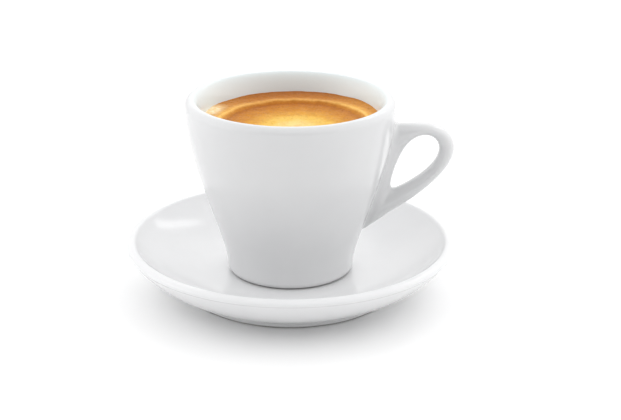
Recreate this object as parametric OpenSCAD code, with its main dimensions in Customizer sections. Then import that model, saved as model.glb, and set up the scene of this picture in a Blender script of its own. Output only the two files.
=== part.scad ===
// Espresso in its cup, standing on its saucer.
// Millimetres, +Z up. The origin is on the common axis, at the underside of the saucer's foot.
// The handle points along +X.

/* [Saucer] */
// Outer diameter of the saucer
saucer_d = 104.2; // [98:0.2:126]
// Height of the saucer, from the table to the crest of its lip
saucer_h = 17.1; // [14:0.1:21]
// Height of the flat well that the cup stands on
well_h = 6.7; // [5.6:0.1:8]
// Diameter of the flat part of the well
well_d = 50; // [46:1:58]
// Outer diameter of the saucer's foot ring
saucer_foot_d = 66; // [56:0.5:72]
// Width of the foot ring's flat face
saucer_foot_w = 2.4; // [1.6:0.1:4]
// Height of the foot ring
saucer_foot_h = 2.2; // [1.6:0.1:2.8]
// Width of the lip, from its crest to its outermost edge
saucer_lip_w = 2.2; // [1.6:0.1:3]
// Drop of the lip from its crest to its outermost edge
saucer_lip_drop = 1.2; // [0.8:0.1:1.8]

/* [Cup] */
// Outer diameter of the cup at its rim
cup_rim_d = 65.6; // [58:0.2:78]
// Height of the cup
cup_h = 56.4; // [48:0.2:68]
// Outer diameter of the cup just above its base
cup_base_d = 40; // [36:0.5:45]
// Radius of the rounded edge of the base
cup_base_round = 2.1; // [1:0.1:3]
// Height over which the wall leaves the base almost upright
base_upright = 9; // [5:0.5:14]
// Height over which the wall runs almost upright into the rim
rim_upright = 18; // [10:0.5:22]
// Radius of the outside of the lip
cup_lip_round = 2.3; // [1.6:0.1:2.6]
// Thickness of the wall below the lip
cup_wall = 6.2; // [5:0.1:7]
// Depth below the rim at which the wall reaches that thickness
cup_lip_depth = 8.6; // [7:0.1:11]
// Thickness of the cup's floor
cup_floor = 5.8; // [4:0.1:8]
// Depth of the hollow inside the cup's foot ring
cup_foot_hollow = 1.2; // [0.6:0.1:2]
// Width of the foot ring's flat face
cup_foot_w = 2.6; // [2:0.1:4]

/* [Handle] */
// Distance from the cup's axis to the outermost point of the handle
handle_reach = 51.2; // [47:0.1:55]
// Height of the handle's top above the cup's base
handle_top = 48.1; // [44:0.1:51]
// Height of the handle's lower end above the cup's base
handle_end = 13.1; // [10:0.1:16]
// Width of the handle, across its flat direction
handle_w = 6.6; // [5:0.1:9]
// Half length of the finger hole
hole_half_l = 10.4; // [9:0.1:11]
// Half width of the finger hole, at its middle
hole_half_w = 4.7; // [3.8:0.1:5]
// Tilt of the finger hole's long axis
hole_tilt = 52.5; // [48:0.5:57]

/* [Espresso] */
// Depth of the drink's edge below the rim
fill_drop = 5.8; // [4:0.1:8.4]
// Diameter of the round pool inside the thicker foam
pool_d = 42; // [34:0.5:44]
// Distance of the pool's middle from the cup's axis, towards -Y
pool_shift = 5.5; // [0:0.1:7]
// Depth of the pool below the thicker foam round it
pool_drop = 0.7; // [0.3:0.1:1.2]
// Width of the slope from the thicker foam down to the pool
pool_slope = 2.4; // [1:0.1:4]

/* [Hidden] */
$fn = 96;

// Steps on a long curve of an outline, and on a short one
CURVE = 10;
TURN = 5;
// Sides of each ring of the handle's skin
SIDES = 16;

saucer_r = saucer_d / 2;
saucer_foot_r = saucer_foot_d / 2;
well_r = well_d / 2;
rim_r = cup_rim_d / 2;
base_r = cup_base_d / 2;

// ---- Curves -------------------------------------------------------------

// Cubic curve from one point to another, without its first point. It sets out along
// the vector "leave" and comes in from the side of the vector "arrive".
function curve(from, leave, arrive, to, n) = [
    for (i = [1:n])
        let (t = i / n, u = 1 - t)
        u*u*u*from + 3*u*u*t*(from + leave) + 3*u*t*t*(to + arrive) + t*t*t*to
];

// Circular arc, without its first point
function arc(centre, r, from, to, n) = [
    for (i = [1:n])
        let (a = from + (to - from) * i / n)
        centre + r * [cos(a), sin(a)]
];

// ---- Saucer -------------------------------------------------------------

// Height of the plate's underside inside the foot ring
hollow_h = saucer_foot_h + 0.4;
// Lean of the foot ring's inner side
foot_lean = 0.9;
// Rounding of the foot ring's edges
foot_round = 0.4;
// Top of the foot ring's outer side
foot_top = [saucer_foot_r + 0.2, saucer_foot_h];
// Outer skin's upper end, the outermost edge and the crest of the lip
edge = [saucer_r, saucer_h - saucer_lip_drop];
under_end = edge - [0.5, 0.8];
crest = [saucer_r - saucer_lip_w, saucer_h];
// Upper end of the dish, just inside the crest
inner_top = crest - [1.6, 1.1];

saucer_under = curve(foot_top, [6.8, 1.6], [-3.5, -5.5], under_end, CURVE);

saucer_lip = concat(
    curve(under_end, [0.35, 0.25], [0, -0.4], edge, TURN),
    curve(edge, [0, saucer_lip_drop * 0.55], [saucer_lip_w * 0.5, 0], crest, CURVE),
    curve(crest, [-0.7, 0], [0.6, 0.55], inner_top, TURN)
);

saucer_dish = curve(inner_top, [-4.8, -4.4], [10, 0], [well_r, well_h], 2 * CURVE);

saucer_outline = concat(
    [
        [0, hollow_h],
        [saucer_foot_r - saucer_foot_w - foot_lean, hollow_h],
        [saucer_foot_r - saucer_foot_w - foot_round, foot_round],
        [saucer_foot_r - saucer_foot_w, 0],
        [saucer_foot_r - foot_round, 0],
        [saucer_foot_r, foot_round],
        foot_top
    ],
    saucer_under,
    saucer_lip,
    saucer_dish,
    [[0, well_h]]
);

module saucer() {
    color("whitesmoke") rotate_extrude() polygon(saucer_outline);
}

// ---- Cup ----------------------------------------------------------------

// Centre of the lip's outer rounding
lip_centre = [rim_r - cup_lip_round, cup_h - cup_lip_round];
// Point where the lip's inside has become the wall, and the wall's direction there
wall_top = [rim_r - cup_wall, cup_h - cup_lip_depth];
wall_rise = [0.2, 1];
// Radius of the flat middle of the floor
floor_r = 9;
foot_in_r = base_r - cup_base_round - cup_foot_w;
// Lean of the foot ring's inner side
foot_in_lean = 0.8;

cup_side = curve(
    [base_r, cup_base_round], [0, base_upright],
    [0, -rim_upright], [rim_r, lip_centre[1]], 2 * CURVE
);

// Inside of the cup, from the top of the lip down to the floor
cup_inside = concat(
    curve([lip_centre[0], cup_h], [-1.6, 0], 5 * wall_rise, wall_top, CURVE),
    curve(wall_top, -21 * wall_rise, [8.5, 0], [floor_r, cup_floor], 2 * CURVE)
);

cup_outline = concat(
    [
        [0, cup_foot_hollow],
        [foot_in_r - foot_in_lean, cup_foot_hollow],
        [foot_in_r, 0],
        [base_r - cup_base_round, 0]
    ],
    arc([base_r - cup_base_round, cup_base_round], cup_base_round, -90, 0, TURN),
    cup_side,
    arc(lip_centre, cup_lip_round, 0, 90, CURVE),
    cup_inside,
    [[0, cup_floor]]
);

// ---- Handle -------------------------------------------------------------

// Corners of the handle's outline, as [distance from the cup's axis, height]
root = [rim_r - 2.3, handle_top - 0.6];
grip_top = [handle_reach - 10.5, handle_top];
grip_out = [handle_reach, handle_top - 8];
arm_end = [handle_reach - 18.9, handle_end + 6.4];
tail = [handle_reach - 28.1, handle_end];

// The outline starts inside the wall at the top, runs out, round and down to the tail, and
// back up inside the wall. Each stretch is given by its start, the vectors of its curve, its
// end, the rings along it, and the turns round the hole at its start and end.
stretches = [
    [root, [3.5, 0.5], [-3.5, 0], grip_top, 7, 84, 36],
    [grip_top, [6.3, 0], [0, 4.7], grip_out, 12, 36, -36],
    [grip_out, [0, -6.1], [10.1, 6], arm_end, 14, -36, -142],
    [arm_end, [-3.1, -2], [3.6, 2], tail, 5, -142, -180],
    [tail, [0.9, 7.4], [-3, -11.5], root, 12, -180, -276]
];

// The hole is an egg, round at its upper outer end
egg_taper = 0.43;
hole_centre = [handle_reach - 12.9, handle_top - 12.9];

function egg(a) =
    let (
        along = hole_half_l * cos(a),
        across = hole_half_w * sin(a) * (1 + egg_taper * cos(a))
    )
    hole_centre + [
        along * cos(hole_tilt) - across * sin(hole_tilt),
        along * sin(hole_tilt) + across * cos(hole_tilt)
    ];

handle_outer = [for (s = stretches) each curve(s[0], s[1], s[2], s[3], s[4])];
handle_turns = [for (s = stretches, i = [1:s[4]]) s[5] + (s[6] - s[5]) * i / s[4]];

// One oval ring of the skin, spanning from the hole to the outline
function handle_ring(inner, outer) =
    let (middle = (inner + outer) / 2, half = (outer - inner) / 2)
    [
        for (j = [0:SIDES - 1])
            let (a = 360 * j / SIDES, p = middle + half * cos(a))
            [p[0], handle_w / 2 * sin(a), p[1]]
    ];

module handle() {
    count = len(handle_outer);
    points = [
        for (i = [0:count - 1])
            each handle_ring(egg(handle_turns[i]), handle_outer[i])
    ];
    faces = [
        for (i = [0:count - 1], j = [0:SIDES - 1])
            let (
                here = i * SIDES,
                next = (i + 1) % count * SIDES,
                k = (j + 1) % SIDES
            )
            each [
                [here + j, next + k, next + j],
                [here + j, here + k, next + k]
            ]
    ];
    polyhedron(points, faces, convexity = 6);
}

module cup() {
    color("white") translate([0, 0, well_h]) {
        union() {
            rotate_extrude() polygon(cup_outline);
            handle();
        }
    }
}

// ---- Espresso -----------------------------------------------------------

// Height of the drink's edge above the cup's base
level = cup_h - fill_drop;

// Radius of the cup's inside at a height
function inside_r(z) = lookup(z, [for (p = cup_inside) [p[1], p[0]]]);

espresso_outline = concat(
    [[0, cup_floor], [0, level], [inside_r(level), level]],
    [for (p = cup_inside) if (p[1] < level) p]
);

// Section of the space over the pool, out past the drink's surface
pool_r = pool_d / 2;
pool_clear = 1;
pool_outline = [
    [0, level - pool_drop],
    [pool_r, level - pool_drop],
    [pool_r + pool_slope * 0.4, level - pool_drop * 0.75],
    [pool_r + pool_slope * 0.8, level - pool_drop * 0.15],
    [pool_r + pool_slope, level],
    [pool_r + pool_slope, level + pool_clear],
    [0, level + pool_clear]
];

module espresso() {
    color("peru") translate([0, 0, well_h]) difference() {
        rotate_extrude() polygon(espresso_outline);
        translate([0, -pool_shift, 0]) rotate_extrude() polygon(pool_outline);
    }
}

saucer();
cup();
espresso();
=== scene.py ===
# Looks of an espresso in its cup, on its saucer. Metres, +Z up, the handle towards +X.
# Shapes are worked out in millimetres and scaled once, when a mesh is made.

import math

import bpy
import numpy as np
from mathutils import Matrix, Vector
from mathutils.bvhtree import BVHTree


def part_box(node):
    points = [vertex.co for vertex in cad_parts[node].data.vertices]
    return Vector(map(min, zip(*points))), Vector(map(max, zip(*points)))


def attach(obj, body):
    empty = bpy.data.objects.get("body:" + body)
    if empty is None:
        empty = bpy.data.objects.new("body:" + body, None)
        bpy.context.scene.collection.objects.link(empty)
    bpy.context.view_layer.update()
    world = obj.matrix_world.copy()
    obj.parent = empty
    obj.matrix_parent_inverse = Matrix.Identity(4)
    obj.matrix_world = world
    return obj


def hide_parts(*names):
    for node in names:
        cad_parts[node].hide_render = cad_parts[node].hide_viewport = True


MM = 0.001

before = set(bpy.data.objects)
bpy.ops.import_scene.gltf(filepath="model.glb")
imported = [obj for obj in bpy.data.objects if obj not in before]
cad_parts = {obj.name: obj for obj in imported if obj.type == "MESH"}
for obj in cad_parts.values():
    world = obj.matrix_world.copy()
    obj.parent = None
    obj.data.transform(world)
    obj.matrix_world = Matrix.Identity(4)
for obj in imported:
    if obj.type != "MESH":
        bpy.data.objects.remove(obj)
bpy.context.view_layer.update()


def node_box_mm(node):
    """Lowest and highest corner of a CAD node, in millimetres."""
    low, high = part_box(node)
    return np.array(low) / MM, np.array(high) / MM


saucer_low, saucer_high = node_box_mm("saucer")
cup_low, cup_high = node_box_mm("cup")
espresso_low, espresso_high = node_box_mm("espresso")

# ---- Sizes in millimetres ---------------------------------------------------------
# Saucer
SAUCER_R = (saucer_high[1] - saucer_low[1]) / 2
SAUCER_H = saucer_high[2]
WELL_H = cup_low[2]
WELL_R = 25.0
SAUCER_FOOT_R = 33.0
SAUCER_FOOT_W = 2.4
SAUCER_FOOT_H = 2.2
SAUCER_HOLLOW = 2.6
SAUCER_LIP_W = 2.2
SAUCER_LIP_DROP = 1.2
# Lean and rounding of the foot ring's inner side, and rounding of its edges
FOOT_LEAN = 0.9
FOOT_BEND = 0.8
FOOT_ROUND = 0.4
# Distance over which the foot ring's outer side turns into the underside
FOOT_FLARE = 1.6

# Cup, heights above its own base
RIM_R = cup_high[1]
CUP_H = cup_high[2] - cup_low[2]
BASE_R = 20.0
BASE_ROUND = 2.1
BASE_UPRIGHT = 9.0
RIM_UPRIGHT = 18.0
LIP_ROUND = 2.3
WALL = 6.2
LIP_DEPTH = 8.6
FLOOR = espresso_low[2] - cup_low[2]
FLOOR_R = 9.0
FLOOR_BEND = 8.5
FOOT_HOLLOW = 1.2
FOOT_W = 2.6
FOOT_IN_LEAN = 1.4

# Handle, and the fillet where it grows out of the wall
REACH = cup_high[0]
HANDLE_TOP = 48.1
HANDLE_END = 13.1
HANDLE_W = 6.6
HOLE_HALF_L = 10.4
HOLE_HALF_W = 4.7
HOLE_TILT = math.radians(52.5)
EGG_TAPER = 0.43
FILLET = 2.4

# Espresso
LEVEL = espresso_high[2]
POOL_R = 21.0
POOL_X = 0.8
POOL_SHIFT = 5.5
POOL_DROP = 0.7
POOL_SLOPE = 2.4
INTO_WALL = 0.12

# Points round the saucer and round the drink, and rings across the drink's surface
SAUCER_SEGMENTS = 320
DRINK_SEGMENTS = 360
DRINK_RINGS = 110


# ---- Curves and meshes --------------------------------------------------------
def curve(start, leave, arrive, end, steps):
    """Points of a cubic curve, without its first point. It sets out along the vector "leave"
    and comes in from the side of the vector "arrive"."""
    t = np.arange(1, steps + 1)[:, None] / steps
    u = 1 - t
    start, leave, arrive, end = map(np.array, (start, leave, arrive, end))
    return (u**3 * start + 3 * u * u * t * (start + leave) + 3 * u * t * t * (end + arrive)
            + t**3 * end)


def arc(centre, radius, start, end, steps):
    """Points of a circular arc in degrees, without its first point."""
    a = np.radians(start + (end - start) * np.arange(1, steps + 1) / steps)
    return np.array(centre) + radius * np.stack([np.cos(a), np.sin(a)], -1)


def make_object(name, points, faces, smooth=True):
    """Links a new mesh object, from points in millimetres."""
    mesh = bpy.data.meshes.new(name)
    mesh.from_pydata((np.asarray(points) * MM).tolist(), [], faces)
    mesh.validate()
    if smooth:
        mesh.shade_smooth()
    piece = bpy.data.objects.new(name, mesh)
    bpy.context.scene.collection.objects.link(piece)
    return piece


def around(segments):
    """Angles of a ring's points."""
    return 2 * np.pi * np.arange(segments) / segments


def ring_solid(name, first, rings, last):
    """A closed solid from a point on the axis at the bottom, rings of points that run out
    and back in at the top, and a point on the axis there."""
    count, segments, _ = rings.shape
    points = np.concatenate([[first], rings.reshape(-1, 3), [last]])
    j = np.arange(segments)
    k = (j + 1) % segments
    top = 1 + (count - 1) * segments
    faces = np.stack([0 * j, 1 + k, 1 + j], -1).tolist()
    for a in range(1, top, segments):
        b = a + segments
        faces.extend(np.stack([a + j, a + k, b + k, b + j], -1).tolist())
    faces.extend(np.stack([0 * j + len(points) - 1, top + j, top + k], -1).tolist())
    return make_object(name, points, faces)


def turned_rings(profile, segments):
    """Rings of points from the [radius, height] points of a profile."""
    turn = around(segments)
    radius, height = profile[:, :1], profile[:, 1:]
    return np.stack([radius * np.cos(turn), radius * np.sin(turn), height + 0 * turn], -1)


def revolve(name, profile, segments):
    """A closed solid from a profile [radius, height] that starts and ends on the axis."""
    first, last = ([0, 0, end[1]] for end in (profile[0], profile[-1]))
    return ring_solid(name, first, turned_rings(profile[1:-1], segments), last)


# ---- Saucer -----------------------------------------------------------------------
def saucer_profile():
    """The saucer's section, from the middle of its underside out to the lip and back in."""
    foot_in = SAUCER_FOOT_R - SAUCER_FOOT_W
    hollow_end = [foot_in - FOOT_LEAN - FOOT_BEND, SAUCER_HOLLOW]
    foot_in_low = [foot_in - FOOT_ROUND, FOOT_ROUND]
    foot_side = np.array([SAUCER_FOOT_R, FOOT_ROUND])
    foot_top = foot_side + [FOOT_FLARE, SAUCER_FOOT_H]
    edge = np.array([SAUCER_R, SAUCER_H - SAUCER_LIP_DROP])
    under_end = edge - [0.5, 0.8]
    crest = np.array([SAUCER_R - SAUCER_LIP_W, SAUCER_H])
    inner_top = crest - [1.6, 1.1]
    return np.concatenate([
        [[0, SAUCER_HOLLOW], [foot_in - 6, SAUCER_HOLLOW], hollow_end],
        curve(hollow_end, [0.6, 0], [-0.1, 0.6], foot_in_low, 8),
        curve(foot_in_low, [0.06, -0.3], [-0.2, 0], [foot_in + 0.1, 0], 5),
        arc([SAUCER_FOOT_R - FOOT_ROUND, FOOT_ROUND], FOOT_ROUND, -90, 0, 6),
        curve(foot_side, [0.1, SAUCER_FOOT_H - 0.7], [-1.0, -0.3], foot_top, 10),
        curve(foot_top, [5.4, 1.5], [-3.5, -5.5], under_end, 48),
        curve(under_end, [0.35, 0.25], [0, -0.4], edge, 10),
        curve(edge, [0, SAUCER_LIP_DROP * 0.55], [SAUCER_LIP_W * 0.5, 0], crest, 16),
        curve(crest, [-0.7, 0], [0.6, 0.55], inner_top, 10),
        curve(inner_top, [-4.8, -4.4], [10, 0], [WELL_R, WELL_H], 60),
        [[radius, WELL_H] for radius in (20, 14, 8, 3, 0)],
    ])


# ---- Cup --------------------------------------------------------------------------
LIP_CENTRE = np.array([RIM_R - LIP_ROUND, CUP_H - LIP_ROUND])
WALL_TOP = np.array([RIM_R - WALL, CUP_H - LIP_DEPTH])
WALL_RISE = np.array([0.2, 1])
INSIDE_STEPS = 24


def cup_inside():
    """Inside of the cup, from the top of the lip down to the floor."""
    lip = curve([LIP_CENTRE[0], CUP_H], [-1.6, 0], 5 * WALL_RISE, WALL_TOP, INSIDE_STEPS)
    wall = curve(WALL_TOP, -21 * WALL_RISE, [FLOOR_BEND, 0], [FLOOR_R, FLOOR], 2 * INSIDE_STEPS)
    return np.concatenate([lip, wall]) + [0, cup_low[2]]


def cup_profile():
    """The cup's section, from the middle of its underside out to the lip and down inside."""
    foot_in = BASE_R - BASE_ROUND - FOOT_W
    hollow_end = [foot_in - FOOT_IN_LEAN, FOOT_HOLLOW]
    foot_low = [foot_in - FOOT_ROUND, FOOT_ROUND]
    outside = np.concatenate([
        [[0, FOOT_HOLLOW], hollow_end],
        curve(hollow_end, [0.6, 0], [-0.2, 0.5], foot_low, 5),
        curve(foot_low, [0.12, -0.3], [-0.3, 0], [foot_in + 0.2, 0], 5),
        [[BASE_R - BASE_ROUND, 0]],
        arc([BASE_R - BASE_ROUND, BASE_ROUND], BASE_ROUND, -90, 0, 14),
        curve([BASE_R, BASE_ROUND], [0, BASE_UPRIGHT], [0, -RIM_UPRIGHT],
              [RIM_R, LIP_CENTRE[1]], 60),
        arc(LIP_CENTRE, LIP_ROUND, 0, 90, 16),
    ])
    return np.concatenate([outside + [0, cup_low[2]], cup_inside(), [[0, FLOOR + cup_low[2]]]])


# ---- Handle -----------------------------------------------------------------------
ROOT = np.array([RIM_R - 2.3, HANDLE_TOP - 0.6])
GRIP_TOP = np.array([REACH - 10.5, HANDLE_TOP])
GRIP_OUT = np.array([REACH, HANDLE_TOP - 8])
ARM_END = np.array([REACH - 18.9, HANDLE_END + 6.4])
TAIL = np.array([REACH - 28.1, HANDLE_END])
HOLE_CENTRE = np.array([REACH - 12.9, HANDLE_TOP - 12.9])

# The outline starts inside the wall at the top, runs out, round and down to the tail, and
# back up inside the wall. Each stretch: its start, the vectors of its curve, its end, the
# rings along it, and the turns round the finger hole at its start and end.
STRETCHES = [
    (ROOT, [3.5, 0.5], [-3.5, 0], GRIP_TOP, 35, 84, 36),
    (GRIP_TOP, [6.3, 0], [0, 4.7], GRIP_OUT, 60, 36, -36),
    (GRIP_OUT, [0, -6.1], [10.1, 6], ARM_END, 70, -36, -142),
    (ARM_END, [-3.1, -2], [3.6, 2], TAIL, 25, -142, -180),
    (TAIL, [0.9, 7.4], [-3, -11.5], ROOT, 60, -180, -276),
]
SKIN_SIDES = 40
CORNER_SOFTENING = 6


def soften(points, rounds):
    """Eases the corners of a closed line of points."""
    for _ in range(rounds):
        points = (np.roll(points, 1, 0) + 2 * points + np.roll(points, -1, 0)) / 4
    return points


def handle_skin():
    """Rings of points round the handle: an oval spans from the finger hole to the outline."""
    outline = soften(np.concatenate([curve(*stretch[:5]) for stretch in STRETCHES]),
                     CORNER_SOFTENING)
    a = np.radians(np.concatenate([
        first + (last - first) * np.arange(1, count + 1) / count
        for *_, count, first, last in STRETCHES
    ]))
    along = HOLE_HALF_L * np.cos(a)
    across = HOLE_HALF_W * np.sin(a) * (1 + EGG_TAPER * np.cos(a))
    c, s = math.cos(HOLE_TILT), math.sin(HOLE_TILT)
    hole = HOLE_CENTRE + np.stack([along * c - across * s, along * s + across * c], -1)
    middle, half = (hole + outline) / 2, (outline - hole) / 2
    sides = around(SKIN_SIDES)
    rings = middle[:, None, :] + half[:, None, :] * np.cos(sides)[None, :, None]
    across_y = np.broadcast_to(HANDLE_W / 2 * np.sin(sides), rings.shape[:2])
    return np.stack([rings[..., 0], across_y, rings[..., 1] + cup_low[2]], -1)


def make_handle():
    """The handle's skin, its normals and a search tree over its faces."""
    skin = handle_skin()
    count, sides, _ = skin.shape
    i, j = np.meshgrid(np.arange(count), np.arange(sides), indexing="ij")
    here, step = i * sides, (i + 1) % count * sides
    k = (j + 1) % sides
    faces = np.stack([here + j, step + j, step + k, here + k], -1).reshape(-1, 4)
    tree = BVHTree.FromPolygons(skin.reshape(-1, 3).tolist(), faces.tolist())
    along = np.roll(skin, -1, 0) - np.roll(skin, 1, 0)
    across = np.roll(skin, -1, 1) - np.roll(skin, 1, 1)
    normals = np.cross(along, across)
    return skin, normals / np.linalg.norm(normals, axis=2)[..., None], tree


# ---- Cup and handle as one smooth solid -------------------------------------------
# The two are joined through their signed distances, negative inside, so that the
# handle grows out of the wall with a small fillet, as glazed porcelain does.
GRID = 0.6
GRID_MARGIN = 1.3
# Box round the handle. Outside it the handle counts as being as far away as FAR.
HANDLE_ZONE_LOW = np.array([17.0, -6.0, 14.0])
HANDLE_ZONE_HIGH = np.array([54.0, 6.0, 60.0])
FAR = 10.0
# Step and reach of the table of the round body's distance
LOOKUP_STEP = 0.15
LOOKUP_REACH = 75.0
# Points handled at a time, and moves of each point towards the true surface
BATCH = 20000
SURFACE_MOVES = 3


def profile_normals(profile):
    """Outward normals [radius, height] at the points of a profile."""
    step = np.diff(profile, axis=0)
    length = np.hypot(*step.T)
    unit = step / length[:, None]
    tangent = np.concatenate([unit[:1], unit[:-1] * length[1:, None] + unit[1:] * length[:-1, None],
                              unit[-1:]])
    tangent /= np.hypot(*tangent.T)[:, None]
    return np.stack([tangent[:, 1], -tangent[:, 0]], -1)


def body_near(points, profile):
    """Signed distance and normal of the round body nearest to each [radius, height] point."""
    normals = profile_normals(profile)
    start, step = profile[:-1], np.diff(profile, axis=0)
    square = (step * step).sum(1)
    gaps, slopes = [], []
    for p in np.array_split(points, len(points) // BATCH + 1):
        p = p[:, None, :]
        t = np.clip(((p - start) * step).sum(-1) / square, 0, 1)
        apart = ((start + t[..., None] * step - p) ** 2).sum(-1)
        best = apart.argmin(1)
        rows = np.arange(len(p))
        t = t[rows, best][:, None]
        near = start[best] + t * step[best]
        normal = normals[best] * (1 - t) + normals[best + 1] * t
        normal /= np.hypot(*normal.T)[:, None]
        gaps.append(((p[:, 0] - near) * normal).sum(1))
        slopes.append(normal)
    return np.concatenate(gaps), np.concatenate(slopes)


def handle_near(points, handle):
    """Signed distance and normal of the handle's skin nearest to each point."""
    skin, normals, tree = handle
    gaps, slopes = np.full(len(points), FAR), np.zeros((len(points), 3))
    zone = np.nonzero(((points > HANDLE_ZONE_LOW) & (points < HANDLE_ZONE_HIGH)).all(1))[0]
    if not len(zone):
        return gaps, slopes
    found = [tree.find_nearest(Vector(p)) for p in points[zone]]
    near = np.array([f[0] for f in found])
    i, j = np.divmod(np.array([f[2] for f in found]), skin.shape[1])
    i2, j2 = (i + 1) % skin.shape[0], (j + 1) % skin.shape[1]
    along, across = skin[i2, j] - skin[i, j], skin[i, j2] - skin[i, j]
    offset = near - skin[i, j]
    u = np.clip((offset * along).sum(1) / (along**2).sum(1), 0, 1)[:, None]
    v = np.clip((offset * across).sum(1) / (across**2).sum(1), 0, 1)[:, None]
    normal = ((normals[i, j] * (1 - v) + normals[i, j2] * v) * (1 - u)
              + (normals[i2, j] * (1 - v) + normals[i2, j2] * v) * u)
    normal /= np.linalg.norm(normal, axis=1)[:, None]
    away = points[zone] - near
    outside = (away * np.array([f[1] for f in found])).sum(1) > 0
    gaps[zone] = np.linalg.norm(away, axis=1) * np.where(outside, 1, -1)
    slopes[zone] = normal
    return gaps, slopes


def joined(a, b):
    """Distance to two solids joined with a fillet, and the share of the first one's normal."""
    blend = np.maximum(FILLET - np.abs(a - b), 0) / FILLET
    share = np.where(a < b, 1 - blend / 2, blend / 2)
    return np.minimum(a, b) - blend * blend * FILLET / 4, share


def cup_near(points, profile, handle):
    """Signed distance and slope of the whole cup at each point."""
    radius = np.hypot(points[:, 0], points[:, 1])
    body, flat = body_near(np.stack([radius, points[:, 2]], -1), profile)
    out = points[:, :2] / np.maximum(radius, 1e-9)[:, None]
    body_slope = np.concatenate([out * flat[:, :1], flat[:, 1:]], 1)
    grip, grip_slope = handle_near(points, handle)
    gap, share = joined(body, grip)
    return gap, body_slope * share[:, None] + grip_slope * (1 - share)[:, None]


def distance_grid(axes, profile, handle):
    """The cup's distance on a regular grid, the round body's by lookup."""
    x, y, z = axes
    radii = np.arange(0, LOOKUP_REACH, LOOKUP_STEP)
    spread = np.stack(np.meshgrid(radii, z), -1).reshape(-1, 2)
    table = body_near(spread, profile)[0].reshape(len(z), -1)
    place = np.hypot(x[:, None], y[None, :]) / LOOKUP_STEP
    index = place.astype(int)
    share = place - index
    grid = np.moveaxis(table[:, index] * (1 - share) + table[:, index + 1] * share, 0, -1)
    inside = [np.nonzero((a > low) & (a < high))[0]
              for a, low, high in zip(axes, HANDLE_ZONE_LOW, HANDLE_ZONE_HIGH)]
    corners = np.stack(np.meshgrid(*(a[i] for a, i in zip(axes, inside)), indexing="ij"), -1)
    grip = handle_near(corners.reshape(-1, 3), handle)[0].reshape(corners.shape[:3])
    zone = np.ix_(*inside)
    grid[zone] = joined(grid[zone], grip)[0]
    return grid


CORNERS = np.array([[i, j, k] for i in (0, 1) for j in (0, 1) for k in (0, 1)])
CELL_EDGES = [(a, b) for a in range(8) for b in range(a + 1, 8)
              if np.abs(CORNERS[a] - CORNERS[b]).sum() == 1]


def surface_net(values, axes):
    """Quads round the zero level of a grid of distances, one point in each cell it crosses."""
    n = np.array(values.shape) - 1
    corner = [values[i:i + n[0], j:j + n[1], k:k + n[2]] for i, j, k in CORNERS]
    signs = np.stack([c < 0 for c in corner])
    cells = np.argwhere(signs.any(0) & ~signs.all(0))
    index = np.full(n, -1)
    index[tuple(cells.T)] = np.arange(len(cells))
    at = [c[tuple(cells.T)] for c in corner]
    total, count = np.zeros((len(cells), 3)), np.zeros(len(cells))
    for a, b in CELL_EDGES:
        cross = (at[a] < 0) != (at[b] < 0)
        t = np.where(cross, at[a] / np.where(cross, at[a] - at[b], 1), 0)
        point = CORNERS[a] + t[:, None] * (CORNERS[b] - CORNERS[a])
        total += point * cross[:, None]
        count += cross
    low = np.array([a[0] for a in axes])
    points = low + (cells + total / count[:, None]) * GRID
    faces = []
    for axis in range(3):
        u, v = (axis + 1) % 3, (axis + 2) % 3
        low_side = [slice(1, n[0]), slice(1, n[1]), slice(1, n[2])]
        high_side = list(low_side)
        low_side[axis] = slice(0, n[axis])
        high_side[axis] = slice(1, n[axis] + 1)
        a, b = values[tuple(low_side)] < 0, values[tuple(high_side)] < 0
        start = np.array([1, 1, 1])
        start[axis] = 0
        edge = np.argwhere(a != b)
        outward = a[tuple(edge.T)]
        edge = edge + start
        ring = []
        for du, dv in ((-1, -1), (0, -1), (0, 0), (-1, 0)):
            cell = edge.copy()
            cell[:, u] += du
            cell[:, v] += dv
            ring.append(index[tuple(cell.T)])
        quads = np.stack(ring, -1)
        quads[~outward] = quads[~outward][:, ::-1]
        faces.append(quads)
    return points, np.concatenate(faces)


def make_cup():
    profile, handle = cup_profile(), make_handle()
    axes = [np.arange(low - GRID_MARGIN, high + GRID_MARGIN + GRID, GRID)
            for low, high in zip(cup_low, cup_high)]
    points, faces = surface_net(distance_grid(axes, profile, handle), axes)
    for _ in range(SURFACE_MOVES):
        gap, slope = cup_near(points, profile, handle)
        size = np.maximum((slope**2).sum(1), 0.25)
        points = points - slope * (np.clip(gap, -GRID, GRID) / size)[:, None]
    slope = cup_near(points, profile, handle)[1]
    cup = make_object("cup_glaze", points, faces.tolist())
    cup.data.normals_split_custom_set_from_vertices(
        (slope / np.linalg.norm(slope, axis=1)[:, None]).tolist())
    return cup


# ---- Espresso ---------------------------------------------------------------------
# Lengths of the foam's slow swells, how many of each, and their height for each mm of length
SWELL_LENGTHS = (13.0, 9.0, 6.5, 4.8, 3.4)
SWELLS_OF_EACH = 3
SWELL_HEIGHT = 0.0022
SWELL_SEED = 7
# The foam lies a little below the level, with a crest round the pool and a rise at the wall
FOAM_SINK = 0.42
CREST_H = 0.22
CREST_W = 1.3
CREST_OUT = 0.6
CLING_H = 0.2
CLING_W = 0.6
LEAN = 0.015


def smooth_step(low, high, x):
    t = np.clip((x - low) / (high - low), 0, 1)
    return t * t * (3 - 2 * t)


def unevenness(x, y):
    """Slow swells of the foam, as crossing waves."""
    rng = np.random.default_rng(SWELL_SEED)
    total = np.zeros_like(x)
    for length in SWELL_LENGTHS:
        for _ in range(SWELLS_OF_EACH):
            turn, phase = rng.uniform(0, 2 * np.pi, 2)
            along = x * np.cos(turn) + y * np.sin(turn)
            total += length * np.sin(2 * np.pi * along / length + phase)
    return total * SWELL_HEIGHT


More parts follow.
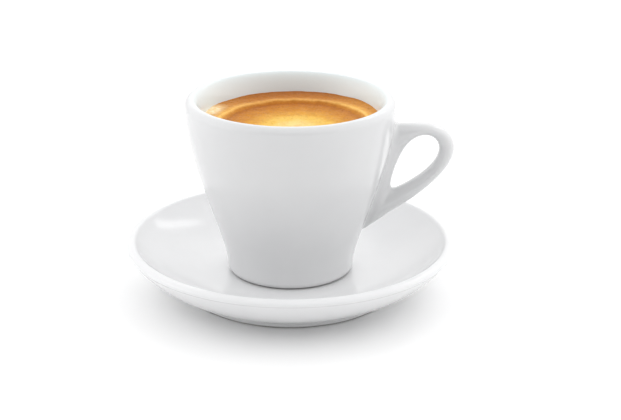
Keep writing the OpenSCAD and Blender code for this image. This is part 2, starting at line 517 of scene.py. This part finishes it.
def foam_height(x, y, wall_r):
    """Height of the foam's surface."""
    pool = np.hypot(x - POOL_X, y + POOL_SHIFT)
    pool_depth = POOL_DROP * (1 - smooth_step(POOL_R, POOL_R + POOL_SLOPE, pool))
    crest = CREST_H * np.exp(-((pool - POOL_R - POOL_SLOPE - CREST_OUT) / CREST_W) ** 2)
    cling = CLING_H * np.exp(-(wall_r - np.hypot(x, y)) / CLING_W)
    return LEVEL - FOAM_SINK - pool_depth + crest + cling + LEAN * x + unevenness(x, y)


def make_espresso():
    """The drink: from the cup's floor up along the wall, then over the foam to the middle."""
    inside = cup_inside()[::-1]
    wall_r = np.interp(LEVEL, inside[:, 1], inside[:, 0])
    below = inside[inside[:, 1] < LEVEL - 1.0] + [INTO_WALL, 0]
    radii = (wall_r + INTO_WALL) * np.arange(DRINK_RINGS, 0, -1) / DRINK_RINGS
    turn = around(DRINK_SEGMENTS)
    x, y = (radii[:, None] * side for side in (np.cos(turn), np.sin(turn)))
    foam_rings = np.stack([x, y, foam_height(x, y, wall_r)], -1)
    rings = np.concatenate([turned_rings(below, DRINK_SEGMENTS), foam_rings])
    middle = foam_height(np.zeros(1), np.zeros(1), wall_r)[0]
    return ring_solid("espresso_drink", [0, 0, below[0][1]], rings, [0, 0, middle])


# ---- Materials --------------------------------------------------------------------
class Graph:
    """Short ways to add shader nodes to one material or world."""

    def __init__(self, tree, coordinates):
        self.nodes, self.links = tree.nodes, tree.links
        self.place = self.add("TexCoord").outputs[coordinates]

    def feed(self, socket, value):
        """Links another node's output to a socket, or sets the socket's own value."""
        if isinstance(value, bpy.types.NodeSocket):
            self.links.new(value, socket)
        else:
            socket.default_value = value

    def add(self, kind, inputs=None, **settings):
        """A new node with its settings, and with its inputs by name."""
        node = self.nodes.new("ShaderNode" + kind)
        for name, value in settings.items():
            setattr(node, name, value)
        for name, value in (inputs or {}).items():
            self.feed(node.inputs[name], value)
        return node

    def math(self, operation, a, b=0.0):
        node = self.add("Math", operation=operation)
        self.feed(node.inputs[0], a)
        self.feed(node.inputs[1], b)
        return node.outputs["Value"]

    def total(self, *values):
        """Sum of several values."""
        result = values[0]
        for value in values[1:]:
            result = self.math("ADD", result, value)
        return result

    def times(self, a, b):
        return self.math("MULTIPLY", a, b)

    def axis(self, name):
        return self.add("SeparateXYZ", {"Vector": self.place}).outputs[name]

    def distance(self, centre_x, centre_y):
        """Distance in millimetres, seen from above, to a point."""
        x = self.math("SUBTRACT", self.axis("X"), centre_x * MM)
        y = self.math("SUBTRACT", self.axis("Y"), centre_y * MM)
        square = self.total(self.times(x, x), self.times(y, y))
        return self.math("DIVIDE", self.math("SQRT", square), MM)

    def noise(self, size, detail, roughness=0.5):
        """Noise with features of about a size in millimetres."""
        return self.add("TexNoise", {"Vector": self.place, "Scale": 1 / (size * MM),
                                     "Detail": detail, "Roughness": roughness}).outputs["Fac"]

    def ramp(self, factor, stops, interpolation="EASE"):
        """Colour from a factor, by stops of a place from 0 to 1 and a scene colour."""
        node = self.add("ValToRGB", {"Fac": factor})
        node.color_ramp.interpolation = interpolation
        elements = node.color_ramp.elements
        while len(elements) < len(stops):
            elements.new(0.5)
        for element, (position, colour) in zip(elements, stops):
            element.position = position
            element.color = (*colour, 1)
        return node.outputs["Color"]

    def span(self, value, low, high, to_low=0.0, to_high=1.0, kind="SMOOTHSTEP"):
        """Brings a value that runs from low to high into the range to_low to to_high."""
        return self.add("MapRange", {"Value": value, "From Min": low, "From Max": high,
                                     "To Min": to_low, "To Max": to_high},
                        interpolation_type=kind).outputs["Result"]

    def mix(self, factor, a, b, blend="MIX"):
        """Mix of two colours."""
        return self.add("Mix", {"Factor": factor, "A": a, "B": b},
                        data_type="RGBA", blend_type=blend).outputs["Result"]

    def bump(self, height, strength, distance):
        """Normal of a surface roughened by a height, over a distance in millimetres."""
        return self.add("Bump", {"Height": height, "Strength": strength,
                                 "Distance": distance * MM}).outputs["Normal"]


def new_material(name, **sockets):
    """A material, its graph, and its shader with constant values on its own sockets."""
    material = bpy.data.materials.new(name)
    material.use_nodes = True
    shader = material.node_tree.nodes["Principled BSDF"]
    for socket, value in sockets.items():
        shader.inputs[socket.replace("_", " ")].default_value = value
    return material, Graph(material.node_tree, "Object"), shader


def linear(red, green, blue):
    """Scene colour of a display colour from 0 to 255."""
    return tuple(((c / 255 + 0.055) / 1.055) ** 2.4 for c in (red, green, blue))


# Porcelain: tints of the glaze for a brightness of 1, and the bare clay of the foot rings, dark
# grey as painted contact shadow
GLAZE_TINTS = ((0.35, (0.98, 0.984, 0.995)), (0.7, (1.015, 1.018, 1.026)))
GLAZE_CLOUD = 1000 / 45
GLAZE_ROUGHNESS = (0.08, 0.16)
RIPPLE = 6.25
BARE_CLAY_PAINTED_SHADOW = (0.26, 0.25, 0.24, 1)
BARE_ROUGHNESS = 0.7
BARE_H = (0.6, 0.25)
# Painted light inside the cup, its glaze made lighter and cooler than outside: how far in from the
# rim it starts, the height, and its tint
INSIDE_FROM_RIM = (1.2, 2.8)
INSIDE_H = 49.0
INSIDE_PAINTED_LIGHT = (1.06, 1.13, 1.13, 1)
# Painted light and shade: one porcelain, made lighter on the saucer and darker on the cup
SAUCER_PAINTED_LIGHT = 0.755
CUP_PAINTED_SHADE = 0.665


def painted_inside_light_share(g):
    """Share of the painted light inside the cup: 1 on the glaze inside the cup above the drink, and
    0 elsewhere.
    """
    edge, full = (RIM_R - inset for inset in INSIDE_FROM_RIM)
    within = g.span(g.distance(0, 0), edge, full, kind="LINEAR")
    high = g.math("GREATER_THAN", g.axis("Z"), (cup_low[2] + INSIDE_H) * MM)
    return g.times(within, high)


def porcelain(name, foot_z, painted_brightness, painted_inside_light=False):
    """White glazed porcelain whose brightness is painted light and shade, lighter on the saucer
    and darker on the cup, and bare where it stands, the bare clay dark grey as painted contact
    shadow. Inside a hollow piece the glaze is made a little cooler and lighter than outside,
    as painted light."""
    material, g, shader = new_material(name, IOR=1.52)
    cloud = g.noise(GLAZE_CLOUD, 3)
    stops = [(place, [painted_brightness * c for c in tint]) for place, tint in GLAZE_TINTS]
    glaze = g.ramp(cloud, stops, "LINEAR")
    # Painted light: the glaze inside the cup made lighter and cooler
    if painted_inside_light:
        glaze = g.mix(painted_inside_light_share(g), glaze, INSIDE_PAINTED_LIGHT, "MULTIPLY")
    low, high = ((foot_z + h) * MM for h in BARE_H)
    bare_with_painted_shadow = g.span(g.axis("Z"), low, high, kind="LINEAR")
    gloss = g.span(cloud, 0, 1, *GLAZE_ROUGHNESS, kind="LINEAR")
    rough = g.add("Mix", {"Factor": bare_with_painted_shadow, "A": gloss, "B": BARE_ROUGHNESS})
    # Painted contact shadow: the bare foot rings take the dark grey clay colour
    g.feed(shader.inputs["Base Color"], g.mix(bare_with_painted_shadow, glaze, BARE_CLAY_PAINTED_SHADOW))
    g.feed(shader.inputs["Roughness"], rough.outputs["Result"])
    g.feed(shader.inputs["Normal"], g.bump(g.noise(RIPPLE, 1), 0.25, 0.03))
    return material


# Foam: display colours by the distance in millimetres, from the middle of the cream in the
# pool, and from just inside the pool's edge out to the wall
POOL_REACH = 27.0
POOL_COLOURS = (
    (0, (246, 206, 140)),
    (4.5, (240, 203, 122)),
    (9, (229, 186, 84)),
    (13.5, (212, 153, 56)),
    (18, (196, 130, 44)),
    (24, (174, 106, 36)),
)
CREAM_CENTRE = (1.5, -POOL_SHIFT - 3.0)
BAND_START = 19.0
BAND_REACH = 15.0
# The band's dark arc at 2.2 mm and light crest at 4.4 mm are painted shade and painted highlight on
# the step round the pool
BAND_COLOURS_WITH_PAINTED_LIGHT = (
    (0, (186, 118, 46)),
    (2.2, (166, 100, 34)),
    (3.2, (178, 112, 42)),
    (4.4, (216, 160, 86)),
    (5.4, (204, 140, 66)),
    (7.6, (184, 116, 48)),
    (12, (170, 104, 46)),
)
# Factors that make the band lighter and more golden at both sides than at the back, as painted
# light, and two grains of mottling
SIDE_PAINTED_LIGHT = ((0.3, (1.34, 1.62, 1.62)), (0.7, (1.42, 1.74, 1.72)))
MOTTLE = ((0.3, (0.86, 0.80, 0.68)), (0.6, (1.04, 1.03, 1.02)))
GRAIN = ((0.3, (0.84, 0.80, 0.74)), (0.65, (1.05, 1.05, 1.05)))
# Painted highlight: a pale streak where the drink climbs the wall on the left
PAINTED_HIGHLIGHT_CENTRE = (-24.5, 7.5)
LEFT_PAINTED_HIGHLIGHT = ((0.3, linear(244, 206, 140)), (0.7, linear(252, 236, 204)))


def colours_by_distance(g, distance, reach, stops):
    """Colour from a distance in millimetres, by stops up to a reach."""
    return g.ramp(g.math("DIVIDE", distance, reach),
                  [(place / reach, linear(*colour)) for place, colour in stops])


def foam(name):
    """Espresso foam: cream to orange in the pool, a dark arc at its edge and a light crest, painted
    shade and painted highlight on the step round the pool, and an orange band out to the wall,
    made lighter at both sides as painted light, all broken up by a fine mottled grain, with a
    pale painted highlight by the wall on the left."""
    material, g, shader = new_material(name, IOR=1.33, Specular_IOR_Level=0.07)
    # the rings of colour wander by a millimetre or so
    slow, fine = (g.math("SUBTRACT", g.noise(size, detail, 0.6), 0.5)
                  for size, detail in ((7, 4), (1.6, 3)))
    wander = g.total(g.times(slow, 5.0), g.times(fine, 2.6))
    from_pool = g.distance(POOL_X, -POOL_SHIFT)
    from_cream = g.total(g.distance(*CREAM_CENTRE), wander)
    from_band = g.math("SUBTRACT", g.total(from_pool, g.times(wander, 0.22)), BAND_START)
    pool = colours_by_distance(g, from_cream, POOL_REACH, POOL_COLOURS)
    band = colours_by_distance(g, from_band, BAND_REACH, BAND_COLOURS_WITH_PAINTED_LIGHT)
    colour = g.mix(g.span(from_pool, POOL_R - 3.0, POOL_R + 0.2), pool, band)

    # Painted light: the band lighter and more golden towards both sides
    painted_side_light = g.mix(1.0, colour, g.ramp(g.noise(3, 2), SIDE_PAINTED_LIGHT), "MULTIPLY")
    side = g.span(g.math("ABSOLUTE", g.axis("X")), 9 * MM, 25 * MM)
    colour = g.mix(g.times(side, g.span(from_pool, 18.0, 23.0, 0.0, 0.8)), colour, painted_side_light)
    for strength, size, detail, roughness, stops in ((0.75, 2.2, 4, 0.65, MOTTLE),
                                                     (0.5, 0.55, 3, 0.6, GRAIN)):
        spots = g.ramp(g.noise(size, detail, roughness), stops)
        colour = g.mix(strength, colour, spots, "MULTIPLY")

    # Painted highlight: a pale streak by the wall on the left
    from_painted_highlight = g.total(g.distance(*PAINTED_HIGHLIGHT_CENTRE), g.times(wander, 0.7))
    from_axis = g.total(g.distance(0, 0), g.times(wander, 0.25))
    painted_highlight_share = g.times(g.span(from_painted_highlight, 8.0, 1.0), g.span(from_axis, 21.0, 24.8))
    colour = g.mix(painted_highlight_share, colour, g.ramp(g.noise(1.0, 2), LEFT_PAINTED_HIGHLIGHT))

    g.feed(shader.inputs["Base Color"], colour)
    g.feed(shader.inputs["Roughness"], g.span(g.noise(1.5, 3), 0.3, 0.7, 0.26, 0.46))
    g.feed(shader.inputs["Normal"], g.bump(g.noise(0.6, 3, 0.6), 0.5, 0.1))
    return material


# ---- Stage ------------------------------------------------------------------------
FLOOR_HALF = 2500.0

# Soft glows of the studio: direction, tightness and strength of each
GLOWS = (
    ((-1, 0, 0.3), 2, 1.7),
    ((1, 0, 0.3), 2, 1.7),
    ((-1, 0, 0.6), 6, 0.35),
    ((1, 0, 0.6), 6, 0.25),
    ((0, 1, 0.6), 4, 1.5),
    ((0, -1, 0.8), 6, 0.45),
    ((0, -1, 3), 6, 0.65),
    ((1, 1, 0.6), 6, 0.3),
)

# A tall narrow window behind on the right, that shines in the left of the saucer's dish.
# Metres and watts.
WINDOW_PLACE = Vector((0.452, 0.632, 0.633))
WINDOW_AIM = Vector((-0.038, 0.022, 0.013))
WINDOW_SIZE = (0.12, 0.38)
WINDOW_POWER = 0.27

# The camera looks down on the cup from the side of -Y. Millimetres.
CAMERA_DISTANCE = 482.5
CAMERA_ELEVATION = math.radians(20.18)
CAMERA_PIVOT = 30.0
CAMERA_AIM = Vector((6.35, 0.0, 25.86))
CAMERA_ROLL = math.radians(0.277)
CAMERA_LENS = 88.5
CAMERA_SENSOR = 36.0


def make_floor():
    corners = [(-1, -1), (1, -1), (1, 1), (-1, 1)]
    points = [[x * FLOOR_HALF, y * FLOOR_HALF, 0] for x, y in corners]
    floor = make_object("floor", points, [[0, 1, 2, 3]], smooth=False)
    material = new_material("floor_white", Base_Color=(0.93, 0.93, 0.93, 1), Roughness=0.6)[0]
    floor.data.materials.append(material)


def make_world():
    world = bpy.data.worlds.new("studio")
    world.use_nodes = True
    g = Graph(world.node_tree, "Generated")
    look = g.add("VectorMath", {0: g.place}, operation="NORMALIZE").outputs["Vector"]
    glows = []
    for direction, tightness, strength in GLOWS:
        towards = g.add("VectorMath", {0: look, 1: Vector(direction).normalized()},
                        operation="DOT_PRODUCT").outputs["Value"]
        towards = g.math("MAXIMUM", towards, 0.0)
        glows.append(g.times(g.math("POWER", towards, tightness), strength))
    background = g.nodes["Background"]
    background.inputs["Color"].default_value = (1, 1, 1, 1)
    g.feed(background.inputs["Strength"], g.total(*glows))
    bpy.context.scene.world = world


def make_window():
    light = bpy.data.lights.new("window", "AREA")
    light.shape = "RECTANGLE"
    light.size, light.size_y = WINDOW_SIZE
    light.energy = WINDOW_POWER
    window = bpy.data.objects.new("window", light)
    window.location = WINDOW_PLACE
    window.rotation_euler = (WINDOW_AIM - WINDOW_PLACE).to_track_quat("-Z", "Y").to_euler()
    bpy.context.scene.collection.objects.link(window)


def make_camera():
    data = bpy.data.cameras.new("camera")
    data.lens = CAMERA_LENS
    data.sensor_width = CAMERA_SENSOR
    data.clip_start, data.clip_end = 0.01, 20
    camera = bpy.data.objects.new("camera", data)
    back, up = math.cos(CAMERA_ELEVATION), math.sin(CAMERA_ELEVATION)
    spot = Vector((0, -CAMERA_DISTANCE * back, CAMERA_PIVOT + CAMERA_DISTANCE * up))
    turned = (CAMERA_AIM - spot).to_track_quat("-Z", "Y").to_matrix().to_4x4()
    roll = Matrix.Rotation(CAMERA_ROLL, 4, "Z")
    camera.matrix_world = Matrix.Translation(spot * MM) @ turned @ roll
    bpy.context.scene.collection.objects.link(camera)
    bpy.context.scene.camera = camera


def finish_piece(piece, material, node):
    piece.data.materials.append(material)
    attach(piece, "root")
    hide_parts(node)


make_camera()
make_world()
make_window()
make_floor()
bpy.context.scene.view_settings.view_transform = "Standard"

finish_piece(revolve("saucer_glaze", saucer_profile(), SAUCER_SEGMENTS),
             porcelain("saucer_porcelain", saucer_low[2], SAUCER_PAINTED_LIGHT), "saucer")
finish_piece(make_cup(), porcelain("cup_porcelain", cup_low[2], CUP_PAINTED_SHADE, painted_inside_light=True),
             "cup")
finish_piece(make_espresso(), foam("espresso_foam"), "espresso")
